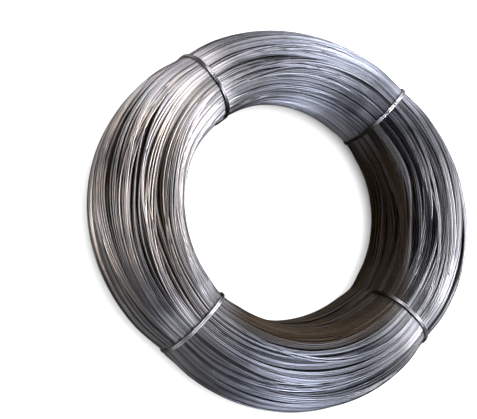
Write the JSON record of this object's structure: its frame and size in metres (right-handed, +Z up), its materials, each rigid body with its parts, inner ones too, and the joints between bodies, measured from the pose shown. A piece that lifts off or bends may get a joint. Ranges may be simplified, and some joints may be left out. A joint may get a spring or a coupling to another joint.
{
  "type": "coil of steel binding wire",
  "caption": "Coil of bare steel binding wire with a round open bore, rounded shoulders and doubled wire ties.",
  "frame": {"origin": "centre of the coil's lower end, where it rests on the floor", "axes": "+Z up along the bore axis; +X is the direction that the ties' angles are counted from"},
  "size_m": [0.4448, 0.445, 0.105],
  "materials": {
    "coil_wire": "bare drawn wire, darkened in places",
    "tie_wire": "bright drawn wire"
  },
  "bodies": {
    "root": {"wire_coil": "coil_wire", "tie_wire_1": "tie_wire", "tie_wire_2": "tie_wire", "tie_wire_3": "tie_wire", "tie_wire_4": "tie_wire"}
  },
  "joints": []
}
